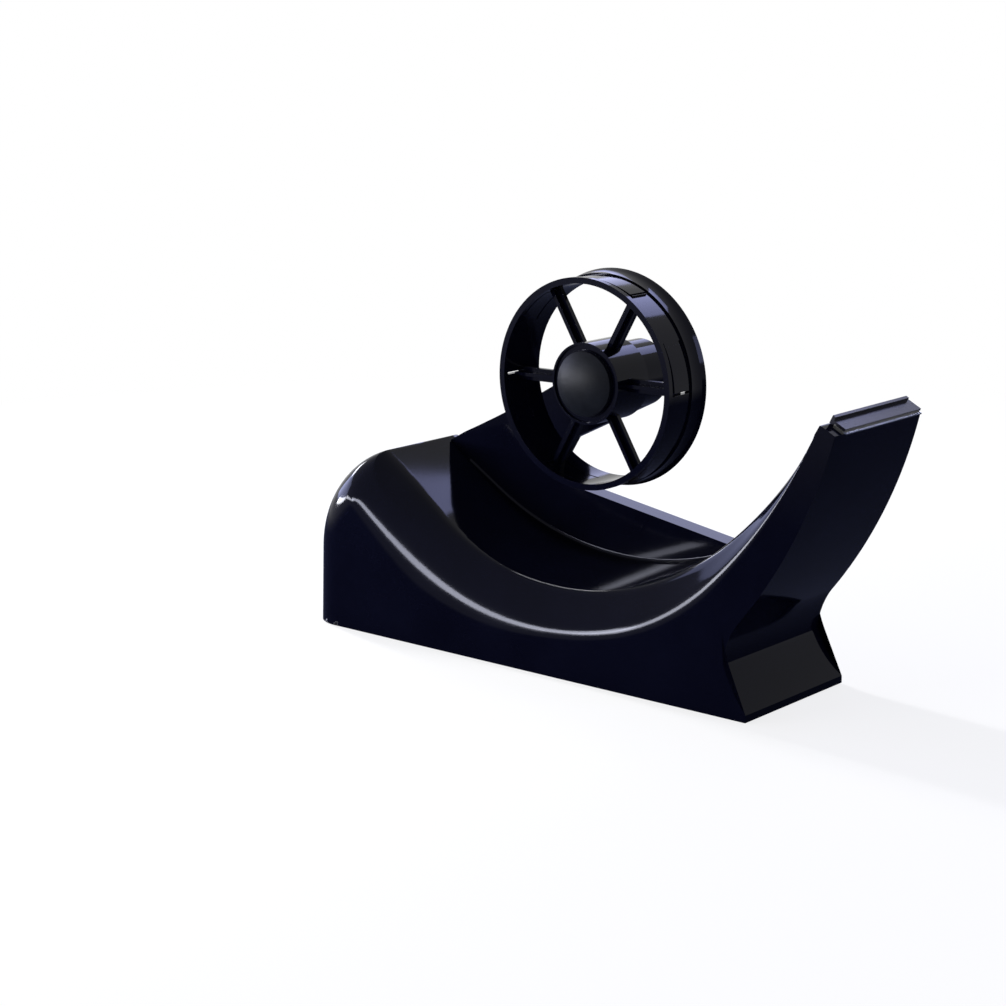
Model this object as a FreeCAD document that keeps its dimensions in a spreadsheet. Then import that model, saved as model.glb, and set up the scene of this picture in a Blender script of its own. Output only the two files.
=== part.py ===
import FreeCAD, Part
import math
import os
import re
import Sketcher

# Weighted desk tape dispenser for rolls with a 76 mm core. All lengths are millimetres.
# Origin: centre of the footprint, on the table. +X points from the tail to the cutting nose,
# +Y from the open side to the side that carries the arm, +Z up.

SIZES = {
    # cradle: side silhouette
    "body_half_width": 30.0,
    "side_draft": 1.93,
    "shell_wall": 2.5,
    "shell_lift": 0.4,
    "tail_radius": 40.0,
    "tail_x": -76.5,
    "tail_z": 29.5,
    "corner_radius": 15.0,
    "foot_x": 86.4,
    "foot_edge": 3.0,
    "waist_x": 76.5,
    "waist_z": 18.5,
    "waist_turn": 3.5,
    "chin_x": 81.6,
    "chin_z": 33.3,
    "nose_face_radius": 174.0,
    "nose_front_x": 115.5,
    "nose_front_z": 100.6,
    "nose_back_x": 109.8,
    "nose_back_z": 103.6,
    # trough floor and ramp
    "trough_radius": 113.0,
    "trough_x": -0.3,
    "trough_low": 31.3,
    "trough_tail_slope": 33.0,
    "ramp_slope": 40.3,
    "floor_rise": 2.2,
    "floor_rise_reach": 95.0,
    # near side: crease line below, rim line above, inclined shoulder between them
    "crease_x": -6.5,
    "crease_low": 16.4,
    "crease_tail_radius": 95.0,
    "crease_flat_radius": 150.0,
    "crease_knee_radius": 88.0,
    "crease_tail_slope": 40.0,
    "crease_level_slope": 3.0,
    "crease_flat_slope": 12.0,
    "crease_knee_slope": 47.0,
    "crease_end_x": 108.5,
    "crease_end_z": 101.3,
    "rim_inset_tail": 11.0,
    "rim_inset_nose": 5.0,
    # far wall
    "far_wall_face_y": 20.5,
    "far_wall_mid_z": 52.5,
    "far_wall_slope": 9.26,
    # arm panel, boss and the screws that hold the panel
    "arm_thickness": 4.0,
    "arm_start_x": -86.5,
    "arm_shoulder_x": -79.5,
    "arm_shoulder_z": 70.6,
    "arm_waist_x": -45.0,
    "arm_waist_z": 88.3,
    "arm_elbow_x": -26.0,
    "arm_elbow_z": 74.9,
    "arm_root_x": -36.0,
    "arm_end_x": 52.0,
    "arm_floor_gap": 0.1,
    "boss_radius": 12.2,
    "boss_front_y": 10.4,
    "arm_screw_tail_x": -60.0,
    "arm_screw_tail_z": 56.0,
    "arm_screw_mid_x": -12.0,
    "arm_screw_mid_z": 44.0,
    "arm_screw_nose_x": 28.0,
    "arm_screw_nose_z": 43.0,
    "arm_screw_web": 2.0,
    "arm_screw_head": 2.8,
    "arm_screw_head_height": 1.5,
    "arm_screw_radius": 1.5,
    "arm_screw_length": 5.0,
    "arm_screw_recess_gap": 0.3,
    # wheel
    "wheel_x": 1.6,
    "wheel_z": 102.3,
    "rim_radius": 37.3,
    "rim_wall": 1.8,
    "rim_front_y": -10.5,
    "rim_width": 20.0,
    "rim_lip_height": 0.4,
    "rim_lip_width": 2.0,
    "seat_radius": 38.0,
    "seat_width": 4.0,
    "flange_radius": 39.1,
    "flange_width": 3.0,
    "pad_rise_height": 0.6,
    "pad_angle": 27.0,
    "pad_width": 8.4,
    "pad_front_y": -7.6,
    "slot_width": 0.8,
    "slot_angle": 1.3,
    "spoke_count": 6,
    "spoke_tilt": 1.0,
    "spoke_width": 4.6,
    "spoke_plate_thickness": 1.8,
    "spoke_front_y": -2.5,
    "spoke_rib_width": 1.3,
    "spoke_rib_height": 2.0,
    "spoke_bite": 0.4,
    "hub_radius": 14.6,
    "hub_wall": 2.4,
    "hub_front_y": -8.9,
    "hub_rear_y": 9.0,
    "hub_socket_radius": 10.9,
    "hub_web": 2.4,
    "hub_groove_in_radius": 12.0,
    "hub_groove_out_radius": 13.8,
    "hub_groove_depth": 0.8,
    "tube_front_y": -2.0,
    "tube_radius": 9.2,
    "cap_radius": 11.6,
    "cap_height": 3.2,
    "cap_edge": 0.9,
    "cap_skin": 1.4,
    "cap_skirt_gap": 0.1,
    "cap_skirt_wall": 1.4,
    "cap_skirt_depth": 4.4,
    # spindle and the pieces stacked on it
    "spindle_radius": 4.0,
    "spindle_rear_y": 18.5,
    "run_gap": 0.06,
    "bush_wall": 2.6,
    "bush_length": 6.0,
    "bush_flange": 1.0,
    "bush_flange_radius": 8.4,
    "stack_gap": 0.1,
    "spring_height": 1.0,
    "spring_sheet": 0.5,
    "spring_bore": 4.3,
    "spring_radius": 7.2,
    "washer_radius": 7.4,
    "washer_bore": 2.2,
    "washer_thickness": 1.0,
    "felt_bore": 4.4,
    "felt_radius": 8.6,
    "front_screw_head": 3.5,
    "front_screw_head_height": 2.2,
    "front_screw_radius": 2.0,
    "front_screw_length": 10.0,
    "bolt_head": 4.5,
    "bolt_head_height": 2.8,
    "bolt_radius": 2.5,
    "bolt_length": 12.0,
    "bolt_washer_radius": 5.2,
    "bolt_washer_thickness": 0.8,
    "bolt_hole_gap": 0.2,
    "bolt_recess_depth": 4.0,
    "bolt_recess_gap": 0.6,
    "thread_end_gap": 0.8,
    # base plate, pad under it and the screw posts
    "pad_thickness": 1.2,
    "pad_inset": 5.0,
    "pad_corner": 8.0,
    "pad_hole_gap": 0.6,
    "base_thickness": 2.4,
    "base_gap": 0.4,
    "base_foot_relief": 1.2,
    "base_corner": 2.0,
    "post_radius": 3.6,
    "post_tail_x": -100.0,
    "post_tail_inset": 17.0,
    "post_mid_x": -21.0,
    "post_mid_inset": 9.0,
    "post_nose_x": 67.0,
    "post_nose_inset": 12.0,
    "small_screw_radius": 1.5,
    "small_screw_head": 3.0,
    "small_screw_cone": 1.5,
    "small_screw_length": 10.0,
    # ballast
    "rear_weight_x": -92.0,
    "rear_weight_length": 58.0,
    "rear_weight_width": 32.0,
    "rear_weight_height": 24.0,
    "front_weight_x": -10.0,
    "front_weight_length": 66.0,
    "front_weight_width": 38.0,
    "front_weight_height": 20.0,
    "weight_screw_radius": 2.0,
    "weight_screw_head": 4.0,
    "weight_screw_cone": 2.0,
    "weight_screw_length": 9.0,
    "weight_screw_inset": 12.0,
    # blade and its holder on the nose
    "holder_near_y": -21.0,
    "holder_far_y": 26.0,
    "holder_thickness": 1.6,
    "holder_heel": 1.8,
    "holder_front_inset": 0.3,
    "holder_ridge": 1.3,
    "holder_ridge_width": 1.2,
    "holder_ridge_inset": 1.6,
    "peg_radius": 1.0,
    "peg_length": 2.0,
    "peg_inset": 9.0,
    "peg_run": 3.8,
    "peg_hole_gap": 0.1,
    "blade_thickness": 0.6,
    "blade_side_gap": 0.1,
    "blade_end_gap": 0.5,
    "blade_overhang": 0.81,
    "tooth_pitch": 1.5,
    "tooth_depth": 1.1,
}

doc = FreeCAD.newDocument("tape_dispenser")
sheet = doc.addObject("Spreadsheet::Sheet", "sizes")
for row, (alias, number) in enumerate(SIZES.items(), start=1):
    sheet.set("A%d" % row, str(number))
    sheet.setAlias("A%d" % row, alias)
doc.recompute()

parts = []


def bind(text):
    """An expression with each size's name pointed at its cell."""
    return re.sub(r"[a-z_]+", lambda m: "sizes." + m.group(0) if m.group(0) in SIZES else m.group(0), text)


def val(text):
    return float(sheet.evalExpression(bind(text)))


def vec(x, y, z):
    return FreeCAD.Vector(x, y, z)


def set_size(thing, prop, text):
    thing.setExpression(prop, bind(text))


# ---- small makers for document objects -------------------------------------------------

def origin_feature(body, role):
    for feature in body.Origin.OriginFeatures:
        if feature.Role == role:
            return feature
    raise ValueError(role)


def new_body(name):
    return doc.addObject("PartDesign::Body", name)


def outline_sketch(body, name, role, corners, lift="0"):
    """Closed straight-sided outline; every corner is bound to the sheet."""
    sketch = body.newObject("Sketcher::SketchObject", name)
    sketch.AttachmentSupport = [(origin_feature(body, role), "")]
    sketch.MapMode = "FlatFace"
    set_size(sketch, "AttachmentOffset.Base.z", lift)
    spots = [vec(val(a), val(b), 0) for a, b in corners]
    count = len(spots)
    for i in range(count):
        sketch.addGeometry(Part.LineSegment(spots[i], spots[(i + 1) % count]), False)
    for i in range(count):
        sketch.addConstraint(Sketcher.Constraint("Coincident", i, 2, (i + 1) % count, 1))
    for i, (a, b) in enumerate(corners):
        for kind, text, number in (("DistanceX", a, spots[i].x), ("DistanceY", b, spots[i].y)):
            index = sketch.addConstraint(Sketcher.Constraint(kind, -1, 1, i, 1, number))
            sketch.setExpression("Constraints[%d]" % index, bind(text))
    return sketch


def revolve(body, name, corners):
    """Turn a (radius, height) outline round the body's own Y axis."""
    sketch = outline_sketch(body, name + "_profile", "XY_Plane", corners)
    feature = body.newObject("PartDesign::Revolution", name)
    feature.Profile = sketch
    feature.ReferenceAxis = (sketch, ["V_Axis"])
    feature.Angle = 360
    return feature


def pad(body, name, sketch, length):
    feature = body.newObject("PartDesign::Pad", name)
    feature.Profile = sketch
    set_size(feature, "Length", length)
    return feature


def on_wheel_axis(thing):
    set_size(thing, "Placement.Base.x", "wheel_x")
    set_size(thing, "Placement.Base.z", "wheel_z")


def turned_part(name, corners):
    """A piece turned round the wheel's axis."""
    body = new_body(name)
    revolve(body, name + "_turned", corners)
    on_wheel_axis(body)
    parts.append(body)
    return body


def shape_feature(name, shape):
    feature = doc.addObject("Part::Feature", name)
    feature.Shape = shape
    return feature


def box(name, x, y, z, length, width, height):
    block = doc.addObject("Part::Box", name)
    for prop, text in (("Length", length), ("Width", width), ("Height", height)):
        set_size(block, prop, text)
    for prop, text in (("x", x), ("y", y), ("z", z)):
        set_size(block, "Placement.Base." + prop, text)
    return block


def upright(name, x, y, z, radius, height):
    """Cylinder standing along Z."""
    rod = doc.addObject("Part::Cylinder", name)
    set_size(rod, "Radius", radius)
    set_size(rod, "Height", height)
    for prop, text in (("x", x), ("y", y), ("z", z)):
        set_size(rod, "Placement.Base." + prop, text)
    return rod


def crosswise(name, x, y, z, radius, height):
    """Cylinder lying along +Y from its start."""
    rod = upright(name, x, y, z, radius, height)
    rod.Placement.Rotation = FreeCAD.Rotation(vec(1, 0, 0), -90)
    return rod


def fuse(name, things):
    joined = doc.addObject("Part::MultiFuse", name)
    joined.Shapes = things
    joined.Refine = True
    return joined


def cut(name, base, tool):
    result = doc.addObject("Part::Cut", name)
    result.Base = base
    result.Tool = tool
    return result


def as_part(thing, label):
    thing.Label = label
    parts.append(thing)
    return thing


# ---- curves of the cradle, as heights over X ------------------------------------------

def slope_dir(degrees):
    """Unit vector from an arc's centre to the point where its slope is this."""
    a = math.radians(degrees)
    return math.sin(a), -math.cos(a)


def bowl_height(x, centre, radius):
    return centre[1] - math.sqrt(radius * radius - (x - centre[0]) ** 2)


def step_centre(centre, radius, next_radius, degrees):
    """Centre of the arc that goes on tangentially with another radius."""
    ux, uz = slope_dir(degrees)
    return centre[0] + (radius - next_radius) * ux, centre[1] + (radius - next_radius) * uz


def end_arc(centre, radius, degrees, tip_x, tip_z):
    """Centre and radius of the arc that takes over at this slope and ends at the tip."""
    dx = tip_x - centre[0]
    dz = tip_z - centre[1]
    ux, uz = slope_dir(degrees)
    along = dx * ux + dz * uz
    end_radius = (dx * dx + dz * dz - 2 * radius * along + radius * radius) / (2 * (radius - along))
    return step_centre(centre, radius, end_radius, degrees), end_radius


def trough_arcs():
    """Trough arc, then the ramp arc that ends at the nose, and the slope at which they join."""
    radius = val("trough_radius")
    slope = val("ramp_slope")
    centre = (val("trough_x"), val("trough_low") + radius)
    ramp_centre, ramp = end_arc(centre, radius, slope, val("nose_back_x"), val("nose_back_z"))
    return centre, radius, ramp_centre, ramp, slope


def trough_height(x, depth):
    """Floor of the trough at x along the rim, lowered by depth along its normal."""
    centre, radius, ramp_centre, ramp, slope = trough_arcs()
    tail_slope = -val("trough_tail_slope")
    radius += depth
    ramp += depth
    ux, uz = slope_dir(tail_slope)
    if x < centre[0] + radius * ux:
        return centre[1] + radius * uz + (x - centre[0] - radius * ux) * math.tan(math.radians(tail_slope))
    if x < centre[0] + radius * slope_dir(slope)[0]:
        return bowl_height(x, centre, radius)
    tip_slope = math.degrees(math.asin((val("nose_back_x") - ramp_centre[0]) / (ramp - depth)))
    tip_x, tip_z = (c + ramp * u for c, u in zip(ramp_centre, slope_dir(tip_slope)))
    if x > tip_x:
        return tip_z + (x - tip_x) * math.tan(math.radians(tip_slope))
    return bowl_height(x, ramp_centre, ramp)


def crease_arcs():
    """The crease as arcs (centre, radius, slope at the left end), from tail to nose."""
    flat = val("crease_flat_radius")
    tail = val("crease_tail_radius")
    knee = val("crease_knee_radius")
    flat_centre = (val("crease_x"), val("crease_low") + flat)
    level, turn, bend = -val("crease_level_slope"), val("crease_flat_slope"), val("crease_knee_slope")
    tail_centre = step_centre(flat_centre, flat, tail, level)
    knee_centre = step_centre(flat_centre, flat, knee, turn)
    rise_centre, rise = end_arc(knee_centre, knee, bend, val("crease_end_x"), val("crease_end_z"))
    return [(tail_centre, tail, -val("crease_tail_slope")), (flat_centre, flat, level),
            (knee_centre, knee, turn), (rise_centre, rise, bend)]


def crease_height(x, depth):
    """Height of the crease at x, lowered by depth along its normal."""
    arcs = crease_arcs()
    centre, radius, slope = arcs[0]
    ux, uz = slope_dir(slope)
    start_x = centre[0] + (radius + depth) * ux
    if x < start_x:
        return centre[1] + (radius + depth) * uz + (x - start_x) * math.tan(math.radians(slope))
    chosen = arcs[0]
    for arc in arcs:
        if x >= arc[0][0] + (arc[1] + depth) * slope_dir(arc[2])[0]:
            chosen = arc
    return bowl_height(x, chosen[0], chosen[1] + depth)


# ---- the cradle's form, at a depth below its outer surface -----------------------------

REACH = 150.0      # construction faces run past the form by this much
STATIONS = 40      # points along each long curve
SHOULDER_PAST = 1.35   # the inclined shoulder runs this share of its width, past the side face


def station(i):
    low = val("tail_x") - val("tail_radius") - 12
    high = val("nose_front_x") + 2
    return low + (high - low) * i / (STATIONS - 1)


def lean(z, depth):
    """Half width of the drafted body at height z."""
    return val("body_half_width") - depth - z * math.tan(math.radians(val("side_draft")))


def rim_y(x, depth):
    """The rim line lies in an upright plane that is slightly askew."""
    span = val("nose_back_x") - (val("tail_x") - val("tail_radius"))
    share = (val("nose_back_x") - x) / span
    inset = val("rim_inset_nose") + (val("rim_inset_tail") - val("rim_inset_nose")) * share
    return inset + depth - val("body_half_width")


def floor_height(x, y, depth):
    """The floor rises a little towards the far wall, less so near its two ends."""
    fade = max(0.0, 1 - (x / val("floor_rise_reach")) ** 2)
    near = rim_y(x, 0)
    share = (y - near) / (val("far_wall_face_y") - near)
    return trough_height(x, depth) + val("floor_rise") * fade * share


def curve(points):
    """Smooth curve through one point per station; every such curve has the same parameters."""
    spline = Part.BSplineCurve()
    spline.interpolate(Points=points, Parameters=[float(i) for i in range(STATIONS)])
    return spline


def below(curve_a, curve_b):
    """Everything under the ruled surface between two curves."""
    poles = [list(pair) for pair in zip(curve_a.getPoles(), curve_b.getPoles())]
    surface = Part.BSplineSurface()
    surface.buildFromPolesMultsKnots(poles, curve_a.getMultiplicities(), [2, 2], curve_a.getKnots(),
                                     [0.0, 1.0], False, False, curve_a.Degree, 1)
    return surface.toShape().extrude(vec(0, 0, -REACH))


def rim_point(x, depth):
    y = rim_y(x, depth)
    return vec(x, y, floor_height(x, y, depth))


def rim_curve(depth):
    return curve([rim_point(station(i), depth) for i in range(STATIONS)])


def shoulder_layer(depth):
    """Under the inclined shoulder, from outside the near wall to the rim line."""
    outer = []
    for i in range(STATIONS):
        x = station(i)
        top = rim_point(x, depth)
        z = crease_height(x, depth)
        foot = vec(x, -lean(z, depth), z)
        outer.append(top + (foot - top) * SHOULDER_PAST)
    return below(curve(outer), rim_curve(depth))


def floor_layer(depth):
    """Under the floor, from the rim line to past the far side."""
    far_y = val("body_half_width") + 1
    far = []
    for i in range(STATIONS):
        x = station(i)
        far.append(vec(x, far_y, floor_height(x, far_y, depth)))
    return below(rim_curve(depth), curve(far))


def wall_height(x):
    return val("far_wall_mid_z") - x * math.tan(math.radians(val("far_wall_slope")))


def wall_layer():
    """Under the straight top of the far wall, behind the arm panel."""
    near_y = val("far_wall_face_y + arm_thickness")
    left = station(0)
    right = station(STATIONS - 1)
    corners = [vec(left, near_y, wall_height(left)), vec(right, near_y, wall_height(right)),
               vec(right, near_y, -REACH), vec(left, near_y, -REACH)]
    face = Part.Face(Part.makePolygon(corners + [corners[0]]))
    return face.extrude(vec(0, REACH, 0))


def prism(outline_edges):
    face = Part.Face(Part.Wire(outline_edges))
    solid = face.extrude(vec(0, 2 * REACH, 0))
    solid.translate(vec(0, -REACH, 0))
    return solid


def line(ax, az, bx, bz):
    return Part.makeLine(vec(ax, 0, az), vec(bx, 0, bz))


def arc_edge(centre, radius, start, end):
    """Arc in the XZ plane between two angles in degrees."""
    spots = []
    for angle in (start, (start + end) / 2, end):
        a = math.radians(angle)
        spots.append(vec(centre[0] + radius * math.cos(a), 0, centre[1] + radius * math.sin(a)))
    return Part.Arc(*spots).toShape()


def side_bounds(depth):
    """The drafted block between the two side faces, drawn out along X."""
    low = -10.0
    corners = [vec(-REACH, -lean(low, depth), low), vec(-REACH, lean(low, depth), low),
               vec(-REACH, lean(REACH, depth), REACH), vec(-REACH, -lean(REACH, depth), REACH)]
    face = Part.Face(Part.makePolygon(corners + [corners[0]]))
    return face.extrude(vec(2 * REACH, 0, 0))


def tail_block(depth):
    """Tail half of the silhouette, with the near corner rolled over."""
    radius = val("tail_radius") - depth
    cx, cz = val("tail_x"), val("tail_z")
    base = val("shell_lift") - depth
    top = cz + radius
    edges = [line(0, base, cx - radius, base), line(cx - radius, base, cx - radius, cz),
             arc_edge((cx, cz), radius, 180, 90),
             line(cx, top, 0, top), line(0, top, 0, base)]
    block = prism(edges).common(side_bounds(depth))
    rolled = []
    for edge in block.Edges:
        middle = edge.valueAt((edge.FirstParameter + edge.LastParameter) / 2)
        near = middle.y < -0.5 * val("body_half_width")
        from_centre = math.hypot(middle.x - cx, middle.z - cz)
        on_arc = abs(from_centre - radius) < 0.6 and middle.z > cz
        on_end = abs(middle.x - (cx - radius)) < 0.6 and middle.z <= cz
        along_top = abs(middle.z - top) < 0.01 and cx < middle.x < -1
        if near and (on_arc or on_end or along_top):
            rolled.append(edge)
    return block.makeFillet(val("corner_radius") - depth, rolled)


def circle_centre(ax, az, bx, bz, radius):
    """Centre of the arc from a up to b that bulges towards +X."""
    half = math.hypot(bx - ax, bz - az) / 2
    away = math.sqrt(radius * radius - half * half)
    tx, tz = (bx - ax) / (2 * half), (bz - az) / (2 * half)
    return (ax + bx) / 2 - tz * away, (az + bz) / 2 + tx * away


def nose_block(depth):
    """Front half of the silhouette: foot, waist, curved nose face and sloping nose top."""
    left = -depth
    base = val("shell_lift") - 2 * depth
    foot, edge = val("foot_x"), val("foot_edge")
    wx, wz = val("waist_x"), val("waist_z")
    cx, cz = val("chin_x"), val("chin_z")
    fx, fz = val("nose_front_x"), val("nose_front_z")
    bx, bz = val("nose_back_x"), val("nose_back_z")
    radius = val("nose_face_radius")
    centre = circle_centre(cx, cz, fx, fz, radius)
    run = math.hypot(bx - fx, bz - fz)
    past = 45.0
    peak = (fx + (bx - fx) / run * past, fz + (bz - fz) / run * past)
    corners = [vec(left, 0, base), vec(foot, 0, base), vec(foot, 0, edge), vec(wx, 0, wz),
               vec(wx, 0, wz + val("waist_turn")), vec(cx, 0, cz)]
    edges = [Part.makeLine(a, b) for a, b in zip(corners[:-1], corners[1:])]
    low_angle = math.degrees(math.atan2(cz - centre[1], cx - centre[0]))
    high_angle = math.degrees(math.atan2(fz - centre[1], fx - centre[0]))
    edges += [arc_edge(centre, radius, low_angle, high_angle), line(fx, fz, peak[0], peak[1]),
              line(peak[0], peak[1], left, peak[1]), line(left, peak[1], left, base)]
    outline = Part.Wire(edges)
    if depth > 0:
        outline = outline.makeOffset2D(-depth)
    block = Part.Face(outline).extrude(vec(0, 2 * REACH, 0))
    block.translate(vec(0, -REACH, 0))
    return block.common(side_bounds(depth))


def cradle_form(depth, with_wall):
    """The cradle as a solid whose surface lies depth below the outer one."""
    layers = shoulder_layer(depth).fuse(floor_layer(depth))
    if with_wall:
        layers = layers.fuse(wall_layer())
    tail = tail_block(depth).common(layers)
    nose = nose_block(depth).common(layers)
    return tail.fuse(nose)


# ---- arm -------------------------------------------------------------------------------

def tangent_point(px, pz, turn):
    """Where the line from a point touches the boss; turn is +1 for its upper side, -1 for its lower."""
    dx = val("wheel_x") - px
    dz = val("wheel_z") - pz
    reach = math.hypot(dx, dz)
    radius = val("boss_radius")
    direction = math.atan2(dz, dx) + turn * math.asin(radius / reach)
    length = math.sqrt(reach * reach - radius * radius)
    return px + length * math.cos(direction), pz + length * math.sin(direction)


def arm_panel():
    """The flat arm: a panel that stands on the trough floor and reaches up to the boss."""
    start_x, root_x, end_x = val("arm_start_x"), val("arm_root_x"), val("arm_end_x")
    shoulder = (val("arm_shoulder_x"), val("arm_shoulder_z"))
    waist = (val("arm_waist_x"), val("arm_waist_z"))
    elbow = (val("arm_elbow_x"), val("arm_elbow_z"))
    upper = tangent_point(waist[0], waist[1], 1)
    lower = tangent_point(elbow[0], elbow[1], -1)
    top_edge = Part.Arc(vec(shoulder[0], 0, shoulder[1]), vec(waist[0], 0, waist[1]),
                        vec(upper[0], 0, upper[1])).toShape()
    edges = [line(start_x, wall_height(start_x), shoulder[0], shoulder[1]), top_edge,
             line(upper[0], upper[1], lower[0], lower[1]), line(lower[0], lower[1], elbow[0], elbow[1]),
             line(elbow[0], elbow[1], root_x, wall_height(root_x)),
             line(root_x, wall_height(root_x), end_x, wall_height(end_x)),
             line(end_x, wall_height(end_x), end_x, 0), line(end_x, 0, start_x, 0),
             line(start_x, 0, start_x, wall_height(start_x))]
    panel = Part.Face(Part.Wire(edges)).extrude(vec(0, val("arm_thickness"), 0))
    panel.translate(vec(0, val("far_wall_face_y"), 0))
    return panel.cut(floor_layer(-val("arm_floor_gap")))


ARM_BACK = "far_wall_face_y + arm_thickness"
BOLT_SEAT = "far_wall_face_y + arm_thickness - bolt_recess_depth"
THREAD_END_REAR = "far_wall_face_y + arm_thickness - bolt_recess_depth + bolt_washer_thickness - bolt_length"

panel_shape = shape_feature("arm_panel", arm_panel())
boss = crosswise("arm_boss", "wheel_x", "boss_front_y", "wheel_z", "boss_radius",
                 ARM_BACK + " - boss_front_y")
spindle_bore = crosswise("spindle_bore", "wheel_x", "boss_front_y - 1", "wheel_z", "spindle_radius",
                         "spindle_rear_y - boss_front_y + 1")
bolt_hole = crosswise("bolt_hole", "wheel_x", "boss_front_y", "wheel_z", "bolt_radius + bolt_hole_gap",
                      ARM_BACK + " - boss_front_y")
bolt_recess = crosswise("bolt_recess", "wheel_x", BOLT_SEAT, "wheel_z",
                        "bolt_washer_radius + bolt_recess_gap", "bolt_recess_depth + 1")

arm_screw_spots = ["tail", "mid", "nose"]
SCREW_SEAT = "far_wall_face_y + arm_thickness + arm_screw_web"
arm_screws = []
arm_screw_recesses = []
for spot in arm_screw_spots:
    at_x = "arm_screw_%s_x" % spot
    at_z = "arm_screw_%s_z" % spot
    shank = crosswise("arm_screw_shank_" + spot, at_x, SCREW_SEAT + " - arm_screw_length", at_z,
                      "arm_screw_radius", "arm_screw_length + arm_screw_head_height / 2")
    head = crosswise("arm_screw_head_" + spot, at_x, SCREW_SEAT, at_z, "arm_screw_head",
                     "arm_screw_head_height")
    arm_screws.append(fuse("arm_screw_" + spot, [shank, head]))
    arm_screw_recesses.append(crosswise("arm_screw_recess_" + spot, at_x, SCREW_SEAT, at_z,
                                        "arm_screw_head + arm_screw_recess_gap", "body_half_width"))

arm_solid = fuse("arm_solid", [panel_shape, boss])
arm_openings = fuse("arm_openings", [spindle_bore, bolt_hole, bolt_recess] + arm_screws)
as_part(cut("arm_bored", arm_solid, arm_openings), "wheel_arm")


def group(name, things):
    pack = doc.addObject("Part::Compound", name)
    pack.Links = things
    return pack


as_part(group("arm_screw_group", arm_screws), "arm_screws")

# ---- base plate, its screws, ballast and pad --------------------------------------------

PLATE_TOP = "pad_thickness + base_thickness"


def countersunk(name, x, y, prefix):
    """Countersunk screw from beneath, its head flush with the plate's underside."""
    cone = doc.addObject("Part::Cone", name + "_head")
    set_size(cone, "Radius1", prefix + "_head")
    set_size(cone, "Radius2", prefix + "_radius")
    set_size(cone, "Height", prefix + "_cone")
    for prop, text in (("x", x), ("y", y), ("z", "pad_thickness")):
        set_size(cone, "Placement.Base." + prop, text)
    shank = upright(name + "_shank", x, y, "pad_thickness", prefix + "_radius", prefix + "_length")
    return fuse(name, [cone, shank])


post_spots = [("post_%s_x" % where, sign + "(body_half_width - post_%s_inset)" % where)
              for where in ("tail", "mid", "nose") for sign in ("", "-")]
base_screws = [countersunk("base_screw_%d" % i, x, y, "small_screw") for i, (x, y) in enumerate(post_spots)]
as_part(group("base_screw_group", base_screws), "base_screws")

weight_spots = [("rear_weight_x + weight_screw_inset", "0"),
                ("rear_weight_x + rear_weight_length - weight_screw_inset", "0"),
                ("front_weight_x + weight_screw_inset", "0"),
                ("front_weight_x + front_weight_length - weight_screw_inset", "0")]
weight_screws = [countersunk("weight_screw_%d" % i, x, y, "weight_screw")
                 for i, (x, y) in enumerate(weight_spots)]
as_part(group("weight_screw_group", weight_screws), "weight_screws")

for end in ("rear", "front"):
    name = end + "_weight"
    block = box(name + "_block", name + "_x", "-%s_width / 2" % name, PLATE_TOP,
                name + "_length", name + "_width", name + "_height")
    mine = weight_screws[:2] if end == "rear" else weight_screws[2:]
    as_part(cut(name + "_bored", block, fuse(name + "_screw_holes", mine)), name)


def rounded_plate(name, low_x, high_x, half_width, low_z, thickness, radii):
    """Flat plate with four rounded corners: near tail, near foot, far foot, far tail."""
    body = new_body(name)
    near_y = "-(%s)" % half_width
    corners = [(low_x, near_y), (high_x, near_y), (high_x, half_width), (low_x, half_width)]
    sketch = outline_sketch(body, name + "_outline", "XY_Plane", corners, low_z)
    slab = pad(body, name + "_slab", sketch, thickness)
    doc.recompute()
    base = slab
    for corner, radius in radii.items():
        rounding = body.newObject("PartDesign::Fillet", name + "_" + corner)
        rounding.Base = (base, corner_edge(base, corner))
        set_size(rounding, "Radius", radius)
        doc.recompute()
        base = rounding
    return body


def corner_edge(feature, corner):
    """Name of the sharp upright edge at one corner of a plate."""
    side, end = corner.split("_")
    y_sign = -1 if side == "near" else 1
    x_sign = -1 if end == "tail" else 1
    best = None
    reach = -1e9
    for i, edge in enumerate(feature.Shape.Edges, start=1):
        a, b = edge.Vertexes[0].Point, edge.Vertexes[-1].Point
        if abs(a.z - b.z) > 0.1 and a.x * x_sign + a.y * y_sign > reach:
            reach = a.x * x_sign + a.y * y_sign
            best = "Edge%d" % i
    return [best]


plate_low_x = "tail_x - tail_radius + shell_wall + base_gap"
plate_high_x = "foot_x - shell_wall - base_gap - base_foot_relief"
plate_body = rounded_plate("plate_blank", plate_low_x, plate_high_x,
                           "body_half_width - shell_wall - base_gap", "pad_thickness", "base_thickness",
                           {"near_tail": "corner_radius - shell_wall", "near_foot": "base_corner",
                            "far_foot": "base_corner", "far_tail": "base_corner"})
plate_holes = fuse("plate_holes", base_screws + weight_screws)
as_part(cut("plate_drilled", plate_body, plate_holes), "base_plate")

pad_body = rounded_plate("pad_blank", "tail_x - tail_radius + pad_inset", "foot_x - pad_inset",
                         "body_half_width - pad_inset", "0", "pad_thickness",
                         {"near_tail": "pad_corner", "near_foot": "pad_corner",
                          "far_foot": "pad_corner", "far_tail": "pad_corner"})
pad_hole_list = []
for i, (x, y) in enumerate(post_spots + weight_spots):
    size = "small_screw_head" if i < len(post_spots) else "weight_screw_head"
    pad_hole_list.append(upright("pad_hole_%d" % i, x, y, "-1", size + " + pad_hole_gap",
                                 "pad_thickness + 2"))
as_part(cut("pad_punched", pad_body, fuse("pad_holes", pad_hole_list)), "non_slip_pad")

# ---- holder strip and blade on the nose -------------------------------------------------

TOP_RUN = "sqrt((nose_front_x - nose_back_x)^2 + (nose_back_z - nose_front_z)^2)"


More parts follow.
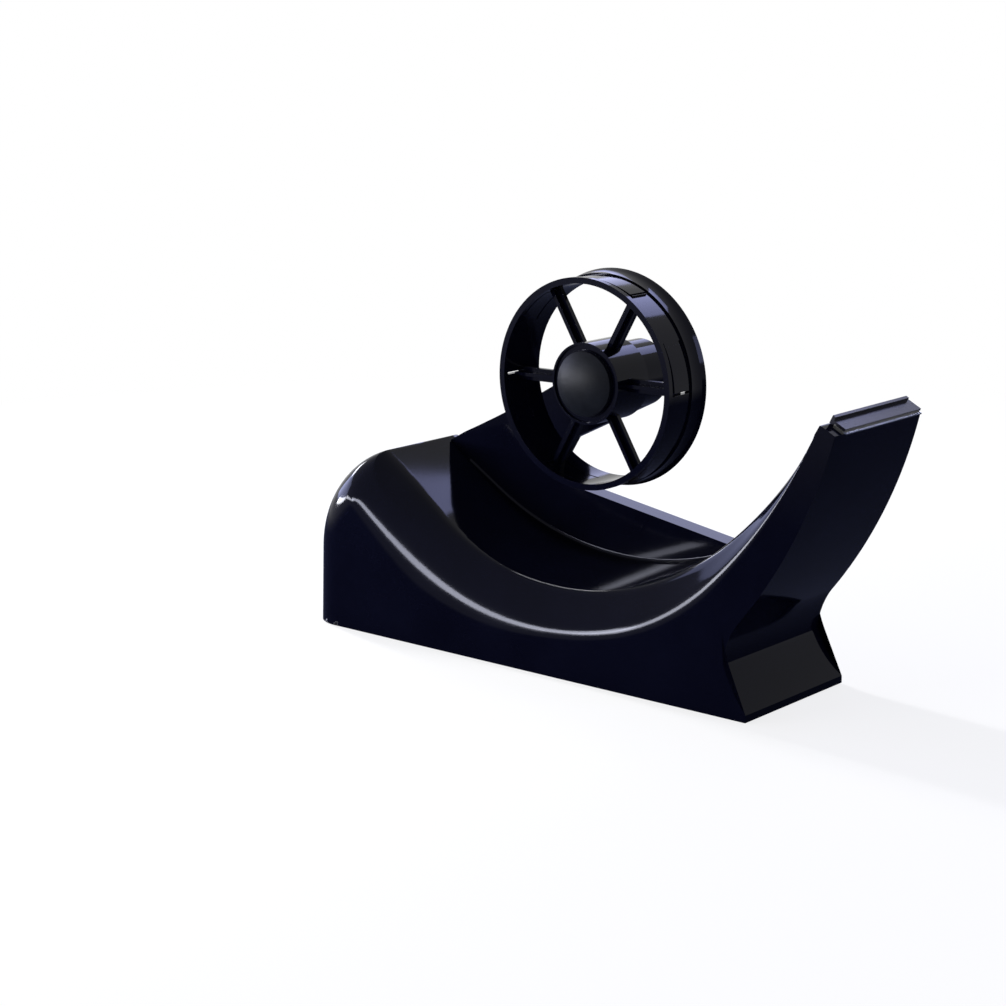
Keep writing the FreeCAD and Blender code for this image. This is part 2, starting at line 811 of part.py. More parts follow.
def nose_spot(along, above):
    """Expressions for a point along the nose top from its back edge, and above it."""
    x = "nose_back_x + ((%s) * (nose_front_x - nose_back_x) + (%s) * (nose_back_z - nose_front_z)) / %s"
    z = "nose_back_z + ((%s) * (nose_front_z - nose_back_z) + (%s) * (nose_front_x - nose_back_x)) / %s"
    return x % (along, above, TOP_RUN), z % (along, above, TOP_RUN)


def nose_strip(name, low_y, high_y, corners):
    """Straight strip along Y whose section is given on the nose top."""
    body = new_body(name)
    spots = [nose_spot(along, above) for along, above in corners]
    sketch = outline_sketch(body, name + "_section", "XZ_Plane", spots, "-(%s)" % high_y)
    pad(body, name + "_strip", sketch, "%s - (%s)" % (high_y, low_y))
    return body


LIP_END = TOP_RUN + " - holder_front_inset"
flat_strip = nose_strip("holder_flat", "holder_near_y", "holder_far_y",
                        [("0", "0"), ("holder_heel", "0"), ("holder_heel", "blade_thickness"),
                         (LIP_END, "blade_thickness"), (LIP_END, "holder_thickness"),
                         ("0", "holder_thickness")])
ridge_strip = nose_strip("holder_ridge_strip", "holder_near_y", "holder_far_y - holder_ridge_inset",
                         [("0", "0"), ("holder_ridge_width", "0"),
                          ("holder_ridge_width", "holder_thickness + holder_ridge"),
                          ("0", "holder_thickness + holder_ridge")])
peg_rows = ["holder_near_y + peg_inset", "holder_far_y - peg_inset"]
pegs = []
for i, at_y in enumerate(peg_rows):
    x, z = nose_spot("peg_run", "-peg_length")
    peg = upright("holder_peg_%d" % i, x, at_y, z, "peg_radius",
                  "peg_length + (blade_thickness + holder_thickness) / 2")
    tilt = math.degrees(math.atan2(val("nose_back_z - nose_front_z"), val("nose_front_x - nose_back_x")))
    peg.Placement.Rotation = FreeCAD.Rotation(vec(0, 1, 0), tilt)
    pegs.append(peg)
holder = as_part(fuse("holder_joined", [flat_strip, ridge_strip] + pegs), "blade_holder")


def blade_shape():
    """Thin plate clamped under the holder, with a row of teeth along its front edge."""
    run = val(TOP_RUN)
    ux, uz = val("nose_front_x - nose_back_x") / run, val("nose_front_z - nose_back_z") / run
    start_x, start_z = val("nose_back_x"), val("nose_back_z")
    back = val("holder_heel + blade_side_gap")
    tip = run + val("blade_overhang")
    low_y = val("holder_near_y")
    high_y = val("holder_far_y + blade_end_gap")
    count = int((high_y - low_y) / val("tooth_pitch"))
    pitch = (high_y - low_y) / count
    marks = [(back, high_y), (back, low_y), (tip - val("tooth_depth"), low_y)]
    for i in range(count):
        marks.append((tip, low_y + (i + 0.5) * pitch))
        marks.append((tip - val("tooth_depth"), low_y + (i + 1) * pitch))
    corners = [vec(start_x + ux * along, y, start_z + uz * along) for along, y in marks]
    face = Part.Face(Part.makePolygon(corners + [corners[0]]))
    thickness = val("blade_thickness")
    up = vec(-uz, 0, ux)
    plate = face.extrude(up * thickness)
    spot_x, spot_z = start_x + ux * val("peg_run"), start_z + uz * val("peg_run")
    radius = val("peg_radius + peg_hole_gap")
    for row in peg_rows:
        foot = vec(spot_x, val(row), spot_z) - up * thickness
        plate = plate.cut(Part.makeCylinder(radius, thickness * 3, foot, up))
    return plate


as_part(shape_feature("blade_plate", blade_shape()), "blade")

# ---- shell -----------------------------------------------------------------------------

def posts(hollow):
    """Screw posts from the plate up to the moulding."""
    low = val(PLATE_TOP)
    rods = []
    for x, y in post_spots:
        rods.append(Part.makeCylinder(val("post_radius"), REACH, vec(val(x), val(y), low)))
    return [rod.common(hollow) for rod in rods]


def body_shell():
    outer = cradle_form(0, True)
    hollow = cradle_form(val("shell_wall"), False)
    shell = outer.cut(hollow).fuse(posts(hollow))
    openings = [thing.Shape for thing in base_screws + arm_screws + arm_screw_recesses + pegs]
    return shell.cut(openings)


doc.recompute()
as_part(shape_feature("cradle_shell", body_shell()), "body_shell")

# ---- wheel -----------------------------------------------------------------------------

RIM_IN = "rim_radius - rim_wall"
RIM_REAR = "rim_front_y + rim_width"
FLANGE_START = "rim_front_y + rim_width - flange_width"
SEAT_START = "rim_front_y + rim_width - flange_width - seat_width"
BORE = "spindle_radius + run_gap + bush_wall"
TUBE_REAR = "hub_rear_y - bush_flange"

wheel = new_body("wheel_core")
revolve(wheel, "rim", [(RIM_IN, "rim_front_y"), ("rim_radius + rim_lip_height", "rim_front_y"),
                       ("rim_radius + rim_lip_height", "rim_front_y + rim_lip_width"),
                       ("rim_radius", "rim_front_y + rim_lip_width + rim_lip_height"),
                       ("rim_radius", SEAT_START), ("seat_radius", SEAT_START), ("seat_radius", FLANGE_START),
                       ("flange_radius", RIM_REAR), (RIM_IN, RIM_REAR)])
revolve(wheel, "hub", [(BORE, "tube_front_y"), ("hub_socket_radius", "tube_front_y"),
                       ("hub_socket_radius", "hub_front_y"), ("hub_groove_in_radius", "hub_front_y"),
                       ("hub_groove_in_radius", "hub_front_y + hub_groove_depth"),
                       ("hub_groove_out_radius", "hub_front_y + hub_groove_depth"),
                       ("hub_groove_out_radius", "hub_front_y"), ("hub_radius", "hub_front_y"),
                       ("hub_radius", "hub_rear_y"), ("hub_radius - hub_wall", "hub_rear_y"),
                       ("hub_radius - hub_wall", "tube_front_y + hub_web"),
                       ("tube_radius", "tube_front_y + hub_web"), ("tube_radius", TUBE_REAR),
                       (BORE, TUBE_REAR)])
half = "spoke_width / 2"
rib = "spoke_rib_width / 2"
SPOKE_BACK = "spoke_front_y + spoke_plate_thickness"
RIB_FRONT = "spoke_front_y - spoke_rib_height"
spoke_section = [("spoke_front_y", "-" + half), (SPOKE_BACK, "-" + half), (SPOKE_BACK, half),
                 ("spoke_front_y", half), ("spoke_front_y", rib), (RIB_FRONT, rib), (RIB_FRONT, "-" + rib),
                 ("spoke_front_y", "-" + rib)]
spoke_sketch = outline_sketch(wheel, "spoke_section", "YZ_Plane", spoke_section, "hub_radius - spoke_bite")
spoke = pad(wheel, "spoke", spoke_sketch, RIM_IN + " - hub_radius + spoke_bite * 2")
doc.recompute()
spokes = wheel.newObject("PartDesign::PolarPattern", "spokes")
spokes.Originals = [spoke]
spokes.Axis = (origin_feature(wheel, "Y_Axis"), [""])
spokes.Angle = 360
set_size(spokes, "Occurrences", "spoke_count")
wheel.Tip = spokes
on_wheel_axis(wheel)
wheel.Placement.Rotation = FreeCAD.Rotation(vec(0, 1, 0), -val("spoke_tilt"))


def wheel_sector(name, turn, sweep, off_x, off_z, radius, low_y, width):
    """Slice of a disc on the wheel's axis, from angle turn clockwise through sweep."""
    piece = crosswise(name, "wheel_x + " + off_x, low_y, "wheel_z + " + off_z, radius, width)
    set_size(piece, "Angle", sweep)
    lay = FreeCAD.Rotation(vec(1, 0, 0), -90)
    piece.Placement.Rotation = FreeCAD.Rotation(vec(0, 1, 0), -turn).multiply(lay)
    return piece


tongue_discs = []
slot_discs = []
for k in range(int(val("spoke_count"))):
    spoke_at = val("spoke_tilt") + 360.0 * k / val("spoke_count")
    root_at = spoke_at + val("pad_angle")
    lean_to = "(%.6f * 1 deg)" % (root_at - 90)
    shift = "pad_rise_height / sin(pad_angle * 1 deg)"
    tongue_discs.append(wheel_sector("tongue_%d" % k, root_at, "pad_angle", shift + " * cos%s" % lean_to,
                                     shift + " * sin%s" % lean_to, "rim_radius", "pad_front_y", "pad_width"))
    for side, low_y in (("near", "pad_front_y - slot_width"), ("far", "pad_front_y + pad_width")):
        slot_discs.append(wheel_sector("slot_%s_%d" % (side, k), root_at, "pad_angle", "0", "0",
                                       "rim_radius + rim_wall", low_y, "slot_width"))
    slot_discs.append(wheel_sector("slot_end_%d" % k, spoke_at, "slot_angle", "0", "0",
                                   "rim_radius + rim_wall", "pad_front_y - slot_width",
                                   "pad_width + slot_width * 2"))

inside = crosswise("rim_inside", "wheel_x", "rim_front_y - 1", "wheel_z", RIM_IN, "rim_width + 2")
tongues = cut("tongues", fuse("tongue_disc_group", tongue_discs), inside)
slots = cut("slots", fuse("slot_disc_group", slot_discs), inside)
as_part(cut("wheel_slotted", fuse("wheel_joined", [wheel, tongues]), slots), "tape_wheel")

# ---- hub cap ---------------------------------------------------------------------------

CAP_EDGE = "hub_front_y - cap_edge"
DOME = "(cap_radius^2 + cap_height^2) / (2 * cap_height)"


def dome_ball(name, radius):
    """Ball whose front is the dome of the cap."""
    ball = doc.addObject("Part::Sphere", name)
    set_size(ball, "Radius", radius)
    on_wheel_axis(ball)
    set_size(ball, "Placement.Base.y", CAP_EDGE + " - cap_height + " + DOME)
    return ball


def common(name, things):
    shared = doc.addObject("Part::MultiCommon", name)
    shared.Shapes = things
    return shared


def capped(name, ball_radius, radius, rear_y):
    """The part of a rod that lies inside the dome's ball."""
    rod = crosswise(name + "_rod", "wheel_x", CAP_EDGE + " - cap_height - 1", "wheel_z", radius,
                    "(%s) - (%s - cap_height - 1)" % (rear_y, CAP_EDGE))
    return common(name, [dome_ball(name + "_ball", ball_radius), rod])


SKIRT = "hub_socket_radius - cap_skirt_gap"
cap_solid = fuse("cap_solid", [capped("cap_dome", DOME, "cap_radius", "hub_front_y"),
                               crosswise("cap_skirt", "wheel_x", CAP_EDGE, "wheel_z", SKIRT,
                                         "cap_edge + cap_skirt_depth")])
cap_hollow = capped("cap_hollow", DOME + " - cap_skin", SKIRT + " - cap_skirt_wall",
                    "hub_front_y + cap_skirt_depth + 1")
as_part(cut("cap_hollowed", cap_solid, cap_hollow), "hub_cap")

# ---- bushes, spindle and the stack on it -------------------------------------------------

BUSH_IN = "spindle_radius + run_gap"
BUSH_FACE = "tube_front_y - bush_flange"
SPRING_FRONT = "tube_front_y - bush_flange - stack_gap - spring_height"
WASHER_FRONT = SPRING_FRONT + " - washer_thickness"

turned_part("front_bush", [(BUSH_IN, BUSH_FACE), ("bush_flange_radius", BUSH_FACE),
                           ("bush_flange_radius", "tube_front_y"), (BORE, "tube_front_y"),
                           (BORE, BUSH_FACE + " + bush_length"), (BUSH_IN, BUSH_FACE + " + bush_length")])
turned_part("rear_bush", [(BUSH_IN, "hub_rear_y - bush_length"), (BORE, "hub_rear_y - bush_length"),
                          (BORE, TUBE_REAR), ("bush_flange_radius", TUBE_REAR),
                          ("bush_flange_radius", "hub_rear_y"), (BUSH_IN, "hub_rear_y")])
turned_part("felt_washer", [("felt_bore", "hub_rear_y + stack_gap"),
                            ("felt_radius", "hub_rear_y + stack_gap"),
                            ("felt_radius", "boss_front_y"), ("felt_bore", "boss_front_y")])
turned_part("drag_spring", [("spring_bore", SPRING_FRONT),
                            ("spring_radius", SPRING_FRONT + " + spring_height - spring_sheet"),
                            ("spring_radius", SPRING_FRONT + " + spring_height"),
                            ("spring_bore", SPRING_FRONT + " + spring_sheet")])
turned_part("retaining_washer", [("washer_bore", WASHER_FRONT), ("washer_radius", WASHER_FRONT),
                                 ("washer_radius", SPRING_FRONT), ("washer_bore", SPRING_FRONT)])
turned_part("retaining_screw", [("0", WASHER_FRONT + " - front_screw_head_height"),
                                ("front_screw_head", WASHER_FRONT + " - front_screw_head_height"),
                                ("front_screw_head", WASHER_FRONT), ("front_screw_radius", WASHER_FRONT),
                                ("front_screw_radius", WASHER_FRONT + " + front_screw_length"),
                                ("0", WASHER_FRONT + " + front_screw_length")])
FRONT_HOLE_END = WASHER_FRONT + " + front_screw_length + thread_end_gap"
REAR_HOLE_END = THREAD_END_REAR + " - thread_end_gap"
turned_part("wheel_spindle", [("0", FRONT_HOLE_END), ("front_screw_radius", FRONT_HOLE_END),
                              ("front_screw_radius", SPRING_FRONT), ("spindle_radius", SPRING_FRONT),
                              ("spindle_radius", "spindle_rear_y"), ("bolt_radius", "spindle_rear_y"),
                              ("bolt_radius", REAR_HOLE_END), ("0", REAR_HOLE_END)])
BOLT_HEAD_FRONT = BOLT_SEAT + " + bolt_washer_thickness"
turned_part("spindle_bolt", [("0", THREAD_END_REAR), ("bolt_radius", THREAD_END_REAR),
                             ("bolt_radius", BOLT_HEAD_FRONT), ("bolt_head", BOLT_HEAD_FRONT),
                             ("bolt_head", BOLT_HEAD_FRONT + " + bolt_head_height"),
                             ("0", BOLT_HEAD_FRONT + " + bolt_head_height")])
turned_part("spindle_bolt_washer", [("bolt_radius + bolt_hole_gap", BOLT_SEAT),
                                    ("bolt_washer_radius", BOLT_SEAT),
                                    ("bolt_washer_radius", BOLT_HEAD_FRONT),
                                    ("bolt_radius + bolt_hole_gap", BOLT_HEAD_FRONT)])

# ---- checks and export -------------------------------------------------------------------

doc.recompute()
for thing in doc.Objects:
    if "Invalid" in thing.State or "Error" in thing.State:
        raise RuntimeError("%s did not compute: %s" % (thing.Name, thing.State))
os.makedirs("parts", exist_ok=True)
for part in parts:
    shape = part.Shape
    if shape.isNull() or not shape.isValid() or not shape.Solids:
        raise RuntimeError("%s has no sound solid" % part.Label)
    shape.exportStep("parts/%s.step" % part.Label)
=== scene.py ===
import math

import bmesh
import bpy
import numpy as np
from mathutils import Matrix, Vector


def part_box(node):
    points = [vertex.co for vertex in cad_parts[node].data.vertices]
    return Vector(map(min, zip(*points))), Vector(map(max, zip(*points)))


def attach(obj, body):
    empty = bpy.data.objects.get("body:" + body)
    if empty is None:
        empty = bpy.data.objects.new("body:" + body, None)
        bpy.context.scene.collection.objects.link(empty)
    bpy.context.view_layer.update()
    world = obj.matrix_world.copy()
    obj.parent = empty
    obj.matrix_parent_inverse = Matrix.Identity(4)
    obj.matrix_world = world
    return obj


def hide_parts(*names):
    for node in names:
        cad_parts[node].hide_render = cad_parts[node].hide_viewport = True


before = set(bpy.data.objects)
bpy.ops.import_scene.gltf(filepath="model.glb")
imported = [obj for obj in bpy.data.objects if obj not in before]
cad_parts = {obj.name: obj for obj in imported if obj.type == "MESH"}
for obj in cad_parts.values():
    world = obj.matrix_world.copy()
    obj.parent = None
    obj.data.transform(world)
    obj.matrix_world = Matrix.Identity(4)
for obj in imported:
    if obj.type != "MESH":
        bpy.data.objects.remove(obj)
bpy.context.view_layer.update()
MM = 0.001


def node_box(name):
    """Lowest and highest corner of a CAD node at rest, in mm to a micron."""
    return [[round(c / MM, 3) for c in corner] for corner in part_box(name)]


# ---------------------------------------------------------------- sizes of the cradle, in mm and degrees
# One skin stands for body_shell, so that its crease and its near rim can be rounded softly.
# X runs from the tail to the nose, Y from the near side to the far side and Z up.
# A slope is the angle of a line of the side view: positive where it climbs toward the nose.
SHELL_LOW, SHELL_HIGH = node_box("body_shell")
TAIL_X, NOSE_X = SHELL_LOW[0], SHELL_HIGH[0]
BASE_Z = SHELL_LOW[2]                                  # lower edge of the skin
DRAFT = math.tan(math.radians(1.93))                   # lean of the sides per mm of height
HALF_WIDTH = round(SHELL_HIGH[1] + BASE_Z * DRAFT, 3)  # at the table
WALL_Y = node_box("wheel_arm")[1][1]                   # near face of the far wall, behind the arm panel
PANEL_THICKNESS = 4.0
PANEL_Y = WALL_Y - PANEL_THICKNESS                     # near face of the arm panel

TAIL_RADIUS = 40.0
TAIL_CENTRE = (TAIL_X + TAIL_RADIUS, 29.5)
ROLL_RADIUS = 15.0                                     # rounding of the tail's near edge

NOSE_BACK = (node_box("blade_holder")[0][0], 103.6)
NOSE_FRONT = (NOSE_X, 100.6)

TROUGH_CENTRE, TROUGH_RADIUS = (-0.3, 144.3), 113.0
TROUGH_TAIL_SLOPE, RAMP_SLOPE = -33.0, 40.3
FLOOR_RISE = 2.2                                       # from the near rim to the arm panel, at x = 0
FLOOR_RISE_REACH = 95.0                                # the rise is gone this far from x = 0

CREASE_LOW = (-6.5, 16.4)                              # lowest point of the near side's crease
CREASE_TIP = (108.5, 101.3)
CREASE_TAIL_RADIUS, CREASE_LOW_RADIUS, CREASE_KNEE_RADIUS = 95.0, 150.0, 88.0
CREASE_TAIL_SLOPE, CREASE_LOW_SLOPE, CREASE_KNEE_SLOPE, CREASE_RISE_SLOPE = -40.0, -3.0, 12.0, 47.0

RIM_INSET_NOSE, RIM_INSET_TAIL = 5.0, 11.0             # of the near rim from the near side's foot
WALL_TOP_Z, WALL_TOP_FALL = 52.5, 9.26                 # top of the far wall at x = 0, and its slope

# widths over which the crease and the near rim are rounded, by x
CREASE_SOFTNESS = [(-95, 7.5), (-60, 6.5), (-40, 4.8), (-20, 3.4),
                   (0, 2.4), (25, 1.9), (60, 1.7), (105, 1.2)]
RIM_SOFTNESS = [(-95, 14.0), (-70, 12.0), (-45, 6.0), (-25, 2.0)]
RIM_SOFT_SHARE = 0.9                                   # at most this share of the shoulder's height
RIM_SOFT_LEAST = 0.01                                  # a narrower rounding is left out
RIM_SOFT_REACH = 25.0                                  # the rim's rounding ends this far inside it
SOFT_END_X, SOFT_END_Y = 104.0, 15.0                   # no rounding of the rim past these
SHOULDER_LEAST = 0.2                                   # a lower shoulder is left out
NO_SHOULDER_Y = -1000.0                                # far outside the body

FILLET = 1.0                                           # at the foot of the arm panel, in the trough
FILLET_START_X, FILLET_END_X, FILLET_FADE = -84.0, 51.0, 8.0
FILLET_TUCK = 0.02                                     # it drops to the floor this far inside the panel

# outline of the front, from the foot up: points (x, z) and the arcs between them
FOOT_CORNER, FOOT_EDGE = (86.4, BASE_Z), (86.4, 3.0)
WAIST_START, WAIST_END, CHIN = (76.5, 18.5), (77.0, 23.4), (81.6, 33.3)
FRONT_ARCS = [                                         # start, end, radius, steps
    (FOOT_EDGE, WAIST_START, -60.0, 14),
    (WAIST_START, WAIST_END, -14.0, 8),
    (WAIST_END, CHIN, -30.0, 12),
    (CHIN, NOSE_FRONT, 174.0, 70),
]

# the near side's columns: upright up to this x, then they fan out over the foot and up the nose
UPRIGHT_END_X = 40.0
FOOT_TOP_X = 62.0                                      # upper end of the column over the foot's corner
RAMP_SHARE = 0.955                                     # share of the front that faces the ramp's rim
RAMP_CROWDING = 0.9                                    # below 1, columns crowd toward the nose's tip

EDGE_WIDTH = 2.5                                       # width of the rim under the shell
SKIRT_TOP_Z = 3.4                                      # the skin is closed at this height

RECESS_SPOTS = [(-60.0, 56.0), (-12.0, 44.0), (28.0, 43.0)]    # x, z of the arm's screws
RECESS_RADIUS = 3.1
RECESS_FLOOR_Y = WALL_Y + 2.0
RECESS_OUT_Y = HALF_WIDTH + 4.0                        # past the far side

SMOOTH_ANGLE = 24.0                                    # edges of the skin sharper than this stay sharp
# rounding of edges: width, steps and the least angle between the faces
SHELL_EDGE, SHELL_EDGE_STEPS, SHELL_EDGE_ANGLE = 0.5, 3, 28.0
NODE_EDGE_STEPS, NODE_EDGE_ANGLE = 2, 30.0

# steps of the skin's grids
UPRIGHT_STEPS, FOOT_STEPS = 116, 26                    # columns along the side
SIDE_STEPS, FAR_STEPS, FRONT_STEPS, WALL_STEPS = 44, 20, 30, 4
RIM_STEPS = [0.0, 0.3, 0.6, 0.9, 1.3, 1.8, 2.5]        # floor stops by their distance from the rim
FLOOR_START, FLOOR_STEPS, FILLET_STEPS = 3.5, 24, 6
TAIL_FAN_STEPS, TAIL_LEVEL_STEPS = 90, 16
TAIL_FLAT_STEPS, TAIL_ROLL_STEPS, TAIL_TOP_STEPS, TAIL_FAR_STEPS = 16, 20, 26, 10
CORNER_STEPS = 24
RING_STEPS = 48


# ---------------------------------------------------------------- small geometry
def spread(start, end, steps):
    """Evenly spaced values from start to end, both included."""
    return [start + (end - start) * i / steps for i in range(steps + 1)]


def between(start, end, share):
    """Point at a share of the way from start to end."""
    return tuple(a + (b - a) * share for a, b in zip(start, end))


def at_x(stops, x):
    """Value at x of a line through stops (x, value), level past its ends."""
    places, values = zip(*stops)
    return float(np.interp(x, places, values))


def soft_max(a, b, width):
    """Larger of two values, with the change from one to the other rounded over a width."""
    near = max(width - abs(a - b), 0.0)
    return max(a, b) + near * near / (4 * width)


def soft_min(a, b, width):
    """Smaller of two values, rounded in the same way."""
    return -soft_max(-a, -b, width)


def slope_direction(slope):
    """Direction from the centre of a bowl-shaped arc to its point with this slope."""
    angle = math.radians(slope)
    return math.sin(angle), -math.cos(angle)


def next_centre(centre, radius, next_radius, slope):
    """Centre of the arc of another radius that goes on from an arc at this slope without a kink."""
    across, up = slope_direction(slope)
    return centre[0] + (radius - next_radius) * across, centre[1] + (radius - next_radius) * up


def last_arc(centre, radius, slope, tip):
    """The arc that goes on at this slope without a kink and ends at the tip."""
    across, up = slope_direction(slope)
    x, z = tip[0] - centre[0], tip[1] - centre[1]
    along = x * across + z * up
    last_radius = (x * x + z * z - 2 * radius * along + radius * radius) / (2 * (radius - along))
    return next_centre(centre, radius, last_radius, slope), last_radius, slope


def arc_start(arc):
    """Point where an arc (centre, radius, slope at its start) begins."""
    centre, radius, slope = arc
    across, up = slope_direction(slope)
    return centre[0] + radius * across, centre[1] + radius * up


def height_on(arcs, x):
    """Height at x of a line of arcs, which is straight before the first."""
    start_x, start_z = arc_start(arcs[0])
    if x < start_x:
        return start_z + (x - start_x) * math.tan(math.radians(arcs[0][2]))
    centre, radius, _ = [arc for arc in arcs if x >= arc_start(arc)[0]][-1]
    return centre[1] - math.sqrt(max(radius * radius - (x - centre[0]) ** 2, 0.0))


def arc_points(start, end, radius, steps):
    """Arc from start to end that bulges to +X, or to -X where the radius is negative."""
    half_x, half_z = (end[0] - start[0]) / 2, (end[1] - start[1]) / 2
    half = math.hypot(half_x, half_z)
    away = math.copysign(math.sqrt(radius * radius - half * half), radius)
    centre_x = start[0] + half_x - half_z / half * away
    centre_z = start[1] + half_z + half_x / half * away
    first = math.atan2(start[1] - centre_z, start[0] - centre_x)
    last = math.atan2(end[1] - centre_z, end[0] - centre_x)
    sweep = math.remainder(last - first, 2 * math.pi)
    points = []
    for angle in spread(first, first + sweep, steps):
        points.append((centre_x + abs(radius) * math.cos(angle), centre_z + abs(radius) * math.sin(angle)))
    return points


# ---------------------------------------------------------------- surfaces of the cradle
TROUGH = [
    (TROUGH_CENTRE, TROUGH_RADIUS, TROUGH_TAIL_SLOPE),
    last_arc(TROUGH_CENTRE, TROUGH_RADIUS, RAMP_SLOPE, NOSE_BACK),
]


def crease_arcs():
    """Arcs of the near side's crease from the tail to the nose."""
    low_centre = (CREASE_LOW[0], CREASE_LOW[1] + CREASE_LOW_RADIUS)
    tail_centre = next_centre(low_centre, CREASE_LOW_RADIUS, CREASE_TAIL_RADIUS, CREASE_LOW_SLOPE)
    knee_centre = next_centre(low_centre, CREASE_LOW_RADIUS, CREASE_KNEE_RADIUS, CREASE_KNEE_SLOPE)
    return [
        (tail_centre, CREASE_TAIL_RADIUS, CREASE_TAIL_SLOPE),
        (low_centre, CREASE_LOW_RADIUS, CREASE_LOW_SLOPE),
        (knee_centre, CREASE_KNEE_RADIUS, CREASE_KNEE_SLOPE),
        last_arc(knee_centre, CREASE_KNEE_RADIUS, CREASE_RISE_SLOPE, CREASE_TIP),
    ]


CREASE = crease_arcs()


def side_y(z):
    """Half width of the cradle at a height."""
    return HALF_WIDTH - z * DRAFT


def rim_y(x):
    """Y of the trough's near rim."""
    share = (NOSE_BACK[0] - x) / (NOSE_BACK[0] - TAIL_X)
    return RIM_INSET_NOSE + (RIM_INSET_TAIL - RIM_INSET_NOSE) * share - HALF_WIDTH


def floor_z(x, y):
    """Height of the trough's floor, which rises a little from the near rim to the arm panel."""
    across = (y - rim_y(x)) / (PANEL_Y - rim_y(x))
    return height_on(TROUGH, x) + FLOOR_RISE * max(0.0, 1 - (x / FLOOR_RISE_REACH) ** 2) * across


def wall_z(x):
    """Height of the far wall's straight top."""
    return WALL_TOP_Z - x * math.tan(math.radians(WALL_TOP_FALL))


def crest_z(x, y):
    """Height of the cradle's top over the far wall: its straight top, or the floor where that is higher."""
    return max(floor_z(x, y), wall_z(x))


def shoulder_y(x, z):
    """Y of the shoulder, which leans in from the crease to the near rim."""
    low, high = height_on(CREASE, x), floor_z(x, rim_y(x))
    if high - low < SHOULDER_LEAST:
        return NO_SHOULDER_Y
    return -side_y(low) + (z - low) / (high - low) * (rim_y(x) + side_y(low))


def near_y(x, z, side):
    """Y of the near surface: the side or the shoulder, with the crease between them rounded."""
    return soft_max(side, shoulder_y(x, z), at_x(CREASE_SOFTNESS, x))


def soft_top(x, y):
    """Top of the near half: the floor or the shoulder, with the rim between them rounded."""
    top = floor_z(x, y)
    low, high = height_on(CREASE, x), floor_z(x, rim_y(x))
    width = min(at_x(RIM_SOFTNESS, x), RIM_SOFT_SHARE * (high - low))
    if width < RIM_SOFT_LEAST or y > rim_y(x) + RIM_SOFT_REACH:
        return top
    shoulder = low + (y + side_y(low)) / (rim_y(x) + side_y(low)) * (high - low)
    return soft_min(top, shoulder, width)


def trimmed(point):
    """The point, brought down to the rounded top where it stands above it."""
    x, y, z = point
    return (x, y, min(z, soft_top(x, y))) if x < SOFT_END_X and y < SOFT_END_Y else point


# ---------------------------------------------------------------- mesh helpers
def mesh_object(name, points, faces, scale=MM):
    """Object with a mesh of these points and faces; the scale turns the points' unit into m."""
    mesh = bpy.data.meshes.new(name)
    mesh.from_pydata([tuple(c * scale for c in point) for point in points], [], faces)
    mesh.validate()
    obj = bpy.data.objects.new(name, mesh)
    bpy.context.scene.collection.objects.link(obj)
    return obj


def shade(mesh):
    """Smooth shading that keeps the sharp edges of the skin."""
    mesh.shade_smooth()
    mesh.set_sharp_from_angle(angle=math.radians(SMOOTH_ANGLE))


def round_edges(obj, width, steps, angle):
    """Rounds the edges sharper than an angle, over a width in mm."""
    soft = obj.modifiers.new("edges", "BEVEL")
    soft.width = width * MM
    soft.segments = steps
    soft.limit_method = "ANGLE"
    soft.angle_limit = math.radians(angle)
    soft.harden_normals = True


class Sheet:
    """Collects grids of points into one mesh."""

    MERGE = 0.00002           # m; points nearer than this are one point
    SHORTEST = 0.000005       # m; shorter edges are dissolved

    def __init__(self):
        self.points = []
        self.faces = []

    def grid(self, rows):
        """Faces between rows of points, which all have the same number of points."""
        start = len(self.points)
        width = len(rows[0])
        for row in rows:
            assert len(row) == width
            self.points += row
        for i in range(len(rows) - 1):
            for j in range(width - 1):
                corner = start + i * width + j
                self.faces.append((corner, corner + 1, corner + width + 1, corner + width))

    def build(self, name):
        """The object made of all grids, joined where they meet."""
        obj = mesh_object(name, self.points, self.faces)
        joined = bmesh.new()
        joined.from_mesh(obj.data)
        bmesh.ops.remove_doubles(joined, verts=joined.verts, dist=self.MERGE)
        bmesh.ops.dissolve_degenerate(joined, edges=joined.edges, dist=self.SHORTEST)
        bmesh.ops.recalc_face_normals(joined, faces=joined.faces)
        joined.to_mesh(obj.data)
        joined.free()
        shade(obj.data)
        return obj


# ---------------------------------------------------------------- skin of the cradle
def front_outline():
    """Points (x, z) up the front: the foot's edge and slope, the waist, the chin and the nose's face."""
    outline = [FOOT_CORNER, FOOT_EDGE]
    for start, end, radius, steps in FRONT_ARCS:
        outline += arc_points(start, end, radius, steps)[1:]
    return outline


def side_columns():
    """Lower and upper ends of the side's columns, from the tail's centre to the foot's corner.

    An upper end without a height lies on the trough's near rim.
    """
    columns = [((x, BASE_Z), (x, None)) for x in spread(TAIL_CENTRE[0], UPRIGHT_END_X, UPRIGHT_STEPS)]
    low_x = spread(UPRIGHT_END_X, FOOT_CORNER[0], FOOT_STEPS)[1:]
    high_x = spread(UPRIGHT_END_X, FOOT_TOP_X, FOOT_STEPS)[1:]
    return columns + [((low, BASE_Z), (high, None)) for low, high in zip(low_x, high_x)]


